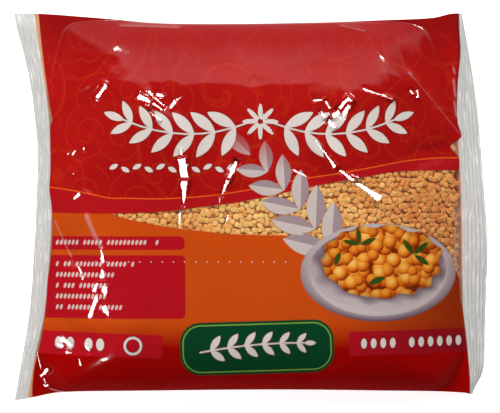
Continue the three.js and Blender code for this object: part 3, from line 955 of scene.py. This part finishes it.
def panelRows(n, y, panels, ovals, rowIndex, ovalIndex):  # the ovals that stand in a panel
    least, more = marks["rowLength"]
    lengths = n.first("TexWhiteNoise", {"noise_dimensions": "1D"}, W=rowIndex)
    beforeEnd = n.math("LESS_THAN", ovalIndex, n.math("MULTIPLY_ADD", lengths, more, least))
    afterStart = n.math("GREATER_THAN", ovalIndex, -0.5)
    highEnough = n.math("GREATER_THAN", y, marks["lowestRow"])
    inPanel = n.math("GREATER_THAN", panels, marks["panelMargin"])
    return n.product(ovals, beforeEnd, afterStart, highEnough, inPanel, marks["panelInk"])


def pinHoles(n, x, y):  # through which the air leaves the bag
    count = n.math("DIVIDE", n.math("SUBTRACT", x, marks["holeStart"]), marks["holeStep"])
    across = n.product(n.math("SUBTRACT", count, n.math("ROUND", count)), marks["holeStep"])
    reach = n.hypot(across, n.math("SUBTRACT", y, marks["holeRow"]))
    fromMiddle = n.math("ABSOLUTE", n.math("SUBTRACT", x, marks["holeMiddle"]))
    inRow = n.math("LESS_THAN", fromMiddle, marks["holeReach"])
    return n.product(n.fade(reach, *marks["holeEdge"]), inRow)


def branchPicture(n, y, under):  # pale leaves, one half of each in shade
    across = n.attribute("branchAcross")
    tone = n.mix(n.fade(across, *picture["leafHalves"]), inks["leafShade"], inks["leaf"])
    tone = n.mix(n.fade(n.math("ABSOLUTE", across), *picture["midrib"]), tone, inks["cream"])
    cover = n.product(n.inside(n.attribute("branch")), n.fade(y, *picture["branchTop"]))
    return n.mix(cover, under, tone)


def dishPicture(n, place, y, under):  # a pale dish with a heap of orange food
    dish, hollow, heap = n.attribute("dish"), n.attribute("dishHollow"), n.attribute("heap")
    light = n.fade(y, *picture["light"])
    rim = n.mix(n.fade(dish, *picture["rimShade"]), inks["dishShade"], inks["dishMid"])
    rim = n.mix(n.fade(dish, *picture["rimEdge"]), rim, inks["dish"])
    rim = n.mix(n.product(light, picture["rimLight"]), rim, inks["dish"])
    made = n.mix(n.inside(dish), under, rim)
    bowl = n.mix(light, inks["dish"], inks["dishMid"])
    made = n.mix(n.inside(hollow, picture["hollowEdge"]), made, bowl)
    shadow = n.product(n.inside(hollow), n.fade(heap, *picture["shadow"]))
    made = n.mix(shadow, made, inks["dishShade"])
    food = inks["foodGap"]
    for scale, shift, brightness in picture["grains"]:
        cover, tone = grainLayer(n, place, scale, shift)
        food = n.mix(cover, food, n.ramp(n.product(tone, brightness), foodTones))
    food = n.mix(n.fade(heap, *picture["heapEdge"]), food, inks["foodGap"])
    made = n.mix(n.inside(heap), made, food)
    return n.mix(n.inside(n.attribute("herbs")), made, inks["herb"])


def printColour(n):
    place = n.place()
    xyz = n.add("SeparateXYZ", in0=place)
    x, y = (n.product(xyz.outputs[i], 1 / mm) for i in (0, 1))
    cloud = n.first("TexNoise", in0=place, **ground["cloud"])
    below = n.attribute("belowLine")
    made = n.mix(n.inside(below), redColour(n, place, y, cloud), inks["band"])
    onLine = n.math("SUBTRACT", ground["lineHalf"], n.math("ABSOLUTE", below))
    made = n.mix(n.inside(onLine, 0.2), made, inks["line"])
    # painted shade: the orange and the panels get darker towards the right
    shadeTowardsRight = n.fade(x, *ground["shadeTowardsRight"])
    orange = n.mix(cloud, inks["deepOrange"], inks["orange"])
    orange = n.mix(shadeTowardsRight, orange, inks["shadedRightOrange"])
    lower = n.mix(n.fade(y, *ground["bottom"]), inks["bottomRed"], orange)
    made = n.mix(n.inside(n.attribute("belowBand")), made, lower)
    panels = n.attribute("panels")
    made = n.mix(n.inside(panels), made, n.mix(shadeTowardsRight, inks["panel"], inks["shadedRightPanel"]))
    ovals, rowIndex, ovalIndex = ovalRows(n, x, y)
    made = n.mix(panelRows(n, y, panels, ovals, rowIndex, ovalIndex), made, inks["cream"])
    made = n.mix(pinHoles(n, x, y), made, inks["cream"])
    # the back has a pale panel with more such rows
    backPanel = n.attribute("backPanel")
    backRows = n.product(ovals, n.math("GREATER_THAN", backPanel, marks["backMargin"]), marks["backInk"])
    made = n.mix(n.inside(backPanel), made, n.mix(backRows, inks["dish"], inks["shade"]))
    made = dishPicture(n, place, y, branchPicture(n, y, made))
    badge = n.attribute("badge")
    made = n.mix(n.inside(badge), made, inks["green"])
    inwards, half = ground["badgeLine"]
    badgeLine = n.math("SUBTRACT", half, n.math("ABSOLUTE", n.math("SUBTRACT", badge, inwards)))
    made = n.mix(n.inside(badgeLine, 0.2), made, inks["greenLine"])
    cream = n.attribute("cream")
    outline = n.inside(n.math("ADD", cream, ground["outline"]), 0.4)
    made = n.mix(n.product(outline, ground["outline"]), made, inks["shade"])
    made = n.mix(n.inside(cream, 0.25), made, inks["cream"])
    inPrint = n.attribute("inPrint")
    border = n.inside(n.math("SUBTRACT", ground["backBorder"], inPrint), 1)
    onBack = n.math("SUBTRACT", 1, n.attribute("front"))
    made = n.mix(n.product(border, onBack), made, inks["edge"])
    # painted shade: the print darkens in the fold along its upper right edge
    dark = ground["foldShadeAtEdge"]
    upperRight = n.product(n.math("GREATER_THAN", x, 0), n.inside(n.math("SUBTRACT", y, dark["above"]), 4))
    foldShadeAtEdge = n.fade(inPrint, dark["from"], dark["to"], end=dark["most"])
    made = n.mix(n.product(foldShadeAtEdge, upperRight), made, inks["sideEdge"])
    # pale along the crease crests: partly ink wear, partly painted highlight
    return n.mix(n.fade(n.attribute("crest"), *ground["wornAndHighlight"]), made, inks["dish"])


filmLook = {
    "gloss": 0.11,
    "ior": 1.5,
    "lumps": (210, 0.12, 0.0004),  # scale, strength, height in metres
    "fine": (60, 0.16, 0.0008),
    "clear": (0.96, 0.96, 0.95, 1),
    "stretchAndSheen": (9, 70),  # white dashes, partly stretched film and partly painted highlight: scale across and along a seal
    "streakEdge": (0.56, 0.68),
    # the seals' milky haze, and the white of its dashes, which is partly painted highlight
    "milk": (colour(206, 207, 204), colour(244, 244, 242)),
    "haze": {"margin": 0.2, "underPrint": 0.03, "seal": 0.65},
    "backInkStart": 0.4,
}


def filmMaterial():
    n = Nodes("printedFilm")
    place = n.place()
    scale, strength, height = filmLook["lumps"]
    lumps = n.first("TexVoronoi", {"feature": "SMOOTH_F1"}, in0=place, Scale=scale, Smoothness=0.6)
    bump = n.first("Bump", Strength=strength, Distance=height, Height=lumps)
    scale, strength, height = filmLook["fine"]
    fine = n.first("TexNoise", in0=place, Scale=scale, Detail=2, Roughness=0.45)
    bump = n.first("Bump", Strength=strength, Distance=height, Height=fine, Normal=bump)
    ink = n.first("BsdfPrincipled", Base_Color=printColour(n), Roughness=filmLook["gloss"],
                  IOR=filmLook["ior"], Normal=bump)
    # clear film: light passes, with a little haze under the same gloss
    clear = n.first("BsdfTransparent", Color=filmLook["clear"])
    seal, front = n.attribute("seal"), n.attribute("front")
    inPrint = n.inside(n.attribute("inPrint"))
    # the seals are milky, with white dashes along the ribs: partly where the film is stretched, partly
    # painted highlight
    across, down = filmLook["stretchAndSheen"]
    downSeal = n.product(n.add("SeparateXYZ", in0=place).outputs[1], down)
    streakPlace = n.first("CombineXYZ", in0=n.product(seal, across), in1=downSeal)
    stretchAndSheen = n.first("TexNoise", in0=streakPlace, Scale=1, Detail=2)
    milk = n.mix(n.fade(stretchAndSheen, *filmLook["streakEdge"]), *filmLook["milk"])
    haze = n.first("BsdfPrincipled", Base_Color=milk, Roughness=0.5, Specular_IOR_Level=0, Normal=bump)
    hazes = filmLook["haze"]
    marginHaze = n.fade(inPrint, 0, 1, hazes["margin"], hazes["underPrint"])
    hazeShare = n.fade(seal, -0.003, 0.003, marginHaze, hazes["seal"])
    gloss = n.first("BsdfAnisotropic", Color=(1, 1, 1, 1), Roughness=filmLook["gloss"], Normal=bump)
    facing = n.math("SUBTRACT", 1, n.add("NewGeometry").outputs["Backfacing"])
    mirrored = n.product(n.first("Fresnel", IOR=filmLook["ior"], Normal=bump), facing)
    bare = n.mixShader(mirrored, n.mixShader(hazeShare, clear, haze), gloss)
    # ink where the print is and the window isn't, and all over the back
    shown = n.math("MAXIMUM", n.inside(n.attribute("dish")), n.inside(n.attribute("branch")))
    openPart = n.product(n.inside(n.attribute("window")), n.math("SUBTRACT", 1, shown))
    frontInk = n.product(inPrint, n.math("SUBTRACT", 1, openPart))
    backInk = n.inside(n.math("SUBTRACT", n.attribute("fromSeal"), filmLook["backInkStart"]))
    return n.finish(n.mixShader(n.mix(front, backInk, frontInk), bare, ink))


filmPiece.data.materials.append(filmMaterial())
print("film material")


# the filling: a core with lentil-sized relief, and real split lentils where the film is clear

filling = {
    "columns": 150,
    "rows": 120,
    "inset": 2.0,
    "hidden": 1.5,  # deeper under the ink
    "hiddenFrom": (3, 8),  # that far from the clear film
    "glintRoom": 1.5,  # and under a facet
    "endGap": 5,  # left empty next to each seal
    "sideShare": 0.96,  # of the width, so that it stays inside the rounded long sides
    "bump": 0.35,
}
lentils = {
    "seed": 5,
    "pitch": 3.6,
    "astray": 1.3,
    "layers": 2,
    "layerDrop": 1.5,
    "radius": 2.5,
    "size": (0.84, 1.12),
    "narrowest": 0.88,
    "dome": 0.62,
    "flat": 0.3,
    "tilt": 0.36,  # at most, in radians
    "follow": 0.85,  # how closely they lie along the film's folds
    "margin": 0.2,  # kept free under the film
    "glintRoom": 1.2,  # more of it under a facet
    "underInk": 3.5,  # they go on below the edge of the ink
    "endGap": 4,
    "lowest": -108,  # none where the bag gets thin
    "shades": (0.3, 0.85),
    # lighter in the middle of the bag
    "light": [[-100, 0.02], [-50, 0.05], [10, 0.28], [50, 0.2], [110, -0.14], [150, -0.16]],
}


def makeFilling():
    piece = makeObject("filling", gridShell(filling["columns"], filling["rows"]))
    co = readVerts(piece)
    share = shareOf(co[:, 1]) * filling["sideShare"]
    left = along(bag["leftSeal"], share) + filling["endGap"]
    right = along(bag["rightSeal"], share) - filling["endGap"]
    x = lerp(left, right, (co[:, 0] + 1) / 2)
    y = lerp(along(bag["bottomSide"], x), along(bag["topSide"], x), (share + 1) / 2)
    below = filling["inset"] + filling["hidden"] * smoothstep(-clearPart(x, y), *filling["hiddenFrom"])
    front = frontHeight(x, y, share) - below - filling["glintRoom"] * nearGlint(x, y)
    back = backHeight(x, y, share) + filling["inset"]
    middle = (front + back) / 2
    front, back = np.maximum(front, middle + 0.05), np.minimum(back, middle - 0.05)
    bumps = filling["bump"] * np.sin(x * 1.7 + 2 * np.sin(y * 0.9)) * np.sin(y * 1.6 + 2 * np.sin(x * 1.1))
    top = front + bumps - filling["bump"]
    writeVerts(piece, x, y, np.where(co[:, 2] > 0.5, top, back))
    return piece


def lentilShape():  # a half seed: domed on one side, nearly flat on the other
    bm = bmesh.new()
    bmesh.ops.create_uvsphere(bm, u_segments=8, v_segments=5, radius=1)
    for v in bm.verts:
        v.co.z *= lentils["dome"] if v.co.z > 0 else lentils["flat"]
        v.co.x *= lentils["radius"]
        v.co.y *= lentils["radius"]
    bm.verts.index_update()
    points = np.array([v.co[:] for v in bm.verts])
    faces = [tuple(v.index for v in face.verts) for face in bm.faces]
    bm.free()
    return points, faces


def clearPart(x, y):  # how far inside the clear film a place is, in millimetres
    fields = printFields(x, y)
    hidden = np.maximum(fields["dish"], fields["branch"])
    return np.maximum(np.minimum(fields["window"], -hidden), -fields["inPrint"])


def lentilPlaces():  # a staggered lattice below the clear film
    pitch = lentils["pitch"]
    x, y = np.meshgrid(np.arange(-160, 160, pitch), np.arange(-132, 132, pitch))
    x = x + (np.arange(x.shape[0])[:, None] % 2) * pitch / 2
    x, y = x.ravel(), y.ravel()
    near = (clearPart(x, y) > -lentils["underInk"]) & (y > lentils["lowest"])
    x, y = x[near], y[near]
    share = shareAt(x, y)
    fromSeals = np.minimum(x - along(bag["leftSeal"], share), along(bag["rightSeal"], share) - x)
    inBag = fromSeals > lentils["endGap"]
    return x[inBag], y[inBag]


def makeLentils():
    draw = np.random.RandomState(lentils["seed"])
    x, y = lentilPlaces()
    points, faces = lentilShape()
    astray, drop = lentils["astray"], lentils["layerDrop"]
    allPoints, allShades = [], []
    for layer in range(lentils["layers"]):
        for px, py in zip(x, y):
            px += draw.uniform(-astray, astray)
            py += draw.uniform(-astray, astray)
            size = draw.uniform(*lentils["size"])
            tilt, heading, spin = draw.uniform(0, 1, 3) * (lentils["tilt"], 2 * math.pi, math.pi)
            flip = draw.choice([1, -1])
            turned = points * size * np.array([1, draw.uniform(lentils["narrowest"], 1), flip])
            c, s = math.cos(spin), math.sin(spin)
            turned = turned @ np.array([[c, s, 0], [-s, c, 0], [0, 0, 1]])
            lean = np.tan(tilt) * (turned[:, 0] * math.cos(heading) + turned[:, 1] * math.sin(heading))
            turned[:, 2] = turned[:, 2] + lean
            turned[:, :2] *= math.cos(tilt)
            allPoints.append(turned + np.array([px, py, -drop * layer]))
            allShades.append(draw.uniform(*lentils["shades"]) + float(along(lentils["light"], px)))
    cloud = np.array(allPoints)
    flat = cloud.reshape(-1, 3)
    share = shareAt(flat[:, 0], flat[:, 1])
    skin = frontHeight(flat[:, 0], flat[:, 1], share).reshape(cloud.shape[:2])
    centreX, centreY = cloud[:, :, 0].mean(1), cloud[:, :, 1].mean(1)
    centreSkin = frontHeight(centreX, centreY, shareAt(centreX, centreY))
    cloud[:, :, 2] += (skin - centreSkin[:, None]) * lentils["follow"]
    high = (cloud[:, :, 2] - skin).max(1) + np.repeat(np.arange(lentils["layers"]) * drop, len(x))
    high = high + lentils["margin"] + lentils["glintRoom"] * nearGlint(centreX, centreY)
    cloud[:, :, 2] -= high[:, None]
    count = len(points)
    allFaces = [tuple(k * count + i for i in face) for k in range(len(cloud)) for face in faces]
    mesh = bpy.data.meshes.new("lentils")
    mesh.from_pydata((cloud.reshape(-1, 3) * mm).tolist(), [], allFaces)
    piece = makePiece("lentils", mesh)
    addAttribute(piece, "shade", np.repeat(allShades, count))
    return piece


lentilLook = {
    "tones": [(0.0, colour(212, 110, 34)), (0.4, colour(244, 154, 64)), (1.0, colour(255, 204, 116))],
    "packedScale": 260,
    "packedDarker": 0.2,
    "grainScale": 900,
    "roughness": 0.55,
    "ior": 1.45,
    "bump": (0.3, 0.0004),
}


def lentilMaterial(name, fromCells):
    n = Nodes(name)
    place = n.place()
    if fromCells:
        cells = n.add("TexVoronoi", in0=place, Scale=lentilLook["packedScale"])
        tone = n.first("SeparateColor", in0=cells.outputs["Color"])
        tone = n.math("SUBTRACT", tone, lentilLook["packedDarker"])
        height = cells.outputs["Distance"]
    else:
        tone = n.attribute("shade")
        height = n.first("TexNoise", in0=place, Scale=lentilLook["grainScale"], Detail=3)
    strength, distance = lentilLook["bump"]
    bump = n.first("Bump", Strength=strength, Distance=distance, Height=height)
    skin = n.first("BsdfPrincipled", Base_Color=n.ramp(tone, lentilLook["tones"]),
                   Roughness=lentilLook["roughness"], IOR=lentilLook["ior"], Normal=bump)
    return n.finish(skin)


fillingPiece = makeFilling()
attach(fillingPiece, "root")
fillingPiece.data.materials.append(lentilMaterial("packedLentils", True))
print("filling:", len(fillingPiece.data.polygons), "faces")

lentilPiece = makeLentils()
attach(lentilPiece, "root")
lentilPiece.data.materials.append(lentilMaterial("splitLentils", False))
print("lentils:", len(lentilPiece.data.polygons), "faces")


# floor, backdrop, lamps and camera

def makeFloor():
    bm = bmesh.new()
    bmesh.ops.create_grid(bm, x_segments=1, y_segments=1, size=studio["floor"])
    floor = makeObject("floor", bm)
    n = Nodes("paleFloor")
    paint = n.first("BsdfPrincipled", Base_Color=studio["floorPaint"], Roughness=0.9,
                    Emission_Color=(1, 1, 1, 1), Emission_Strength=studio["floorGlow"])
    floor.data.materials.append(n.finish(paint))
    floor.visible_glossy = False


def makeBackdrop():  # a pale room for low views, which neither lights the bag nor shows in its gloss
    bm = bmesh.new()
    bmesh.ops.create_icosphere(bm, subdivisions=4, radius=studio["backdrop"])
    bmesh.ops.reverse_faces(bm, faces=bm.faces)
    backdrop = makeObject("backdrop", bm)
    n = Nodes("paleBackdrop")
    pale = n.first("Emission", Color=studio["backdropPaint"], Strength=1)
    backdrop.data.materials.append(n.finish(pale))
    backdrop.visible_glossy = backdrop.visible_diffuse = backdrop.visible_shadow = False


def makeLamp(name, fromUp, compass, outwards, across, radiance):
    light = bpy.data.lights.new(name, "AREA")
    light.shape = "RECTANGLE"
    light.size, light.size_y = outwards, across
    light.energy = radiance * math.pi * outwards * across
    lamp = bpy.data.objects.new(name, light)
    bpy.context.scene.collection.objects.link(lamp)
    lamp.location = lampPlace(fromUp, compass)
    lamp.rotation_euler = (0, math.radians(fromUp), math.radians(compass))
    lamp.visible_camera = False


def makeSky():
    world = bpy.data.worlds.new("studio")
    bpy.context.scene.world = world
    world.use_nodes = True
    tree, wall = world.node_tree, studio["wall"]
    nodes, links = tree.nodes, tree.links
    parts = nodes.new("ShaderNodeSeparateXYZ")
    links.new(nodes.new("ShaderNodeTexCoord").outputs["Generated"], parts.inputs[0])

    def ramp(value, fromRange, toRange):
        node = nodes.new("ShaderNodeMapRange")
        links.new(value, node.inputs["Value"])
        for name, number in zip(("From Min", "From Max", "To Min", "To Max"), (*fromRange, *toRange)):
            node.inputs[name].default_value = number
        return node.outputs[0]

    def calculate(operation, first, second=None):
        node = nodes.new("ShaderNodeMath")
        node.operation = operation
        links.new(first, node.inputs[0])
        if second:
            links.new(second, node.inputs[1])
        return node.outputs[0]

    upPrint, sideways = parts.outputs[1], calculate("ABSOLUTE", parts.outputs[0])
    bright = ramp(upPrint, wall["fade"], (wall["near"], wall["far"]))
    seen = calculate("MULTIPLY", ramp(upPrint, wall["from"], (0, 1)), ramp(sideways, wall["sides"], (0, 1)))
    strength = ramp(calculate("MULTIPLY", seen, bright), (0, 1), (studio["room"], 1))
    nodes["Background"].inputs["Color"].default_value = (1, 1, 1, 1)
    links.new(strength, nodes["Background"].inputs["Strength"])


def makeCamera():
    data = bpy.data.cameras.new("camera")
    camera = bpy.data.objects.new("camera", data)
    bpy.context.scene.collection.objects.link(camera)
    camera.location = (*studio["aim"], studio["cameraHeight"])
    data.sensor_width = 36
    data.lens = data.sensor_width * (studio["cameraHeight"] - bag["sideHeight"] * mm) / studio["frameWidth"]
    data.clip_end = 50
    bpy.context.scene.camera = camera


makeFloor()
makeBackdrop()
for i, lamp in enumerate(studio["lamps"]):
    makeLamp("lamp%d" % i, *lamp)
makeSky()
makeCamera()
bpy.context.scene.view_settings.view_transform = "Standard"
print("studio")
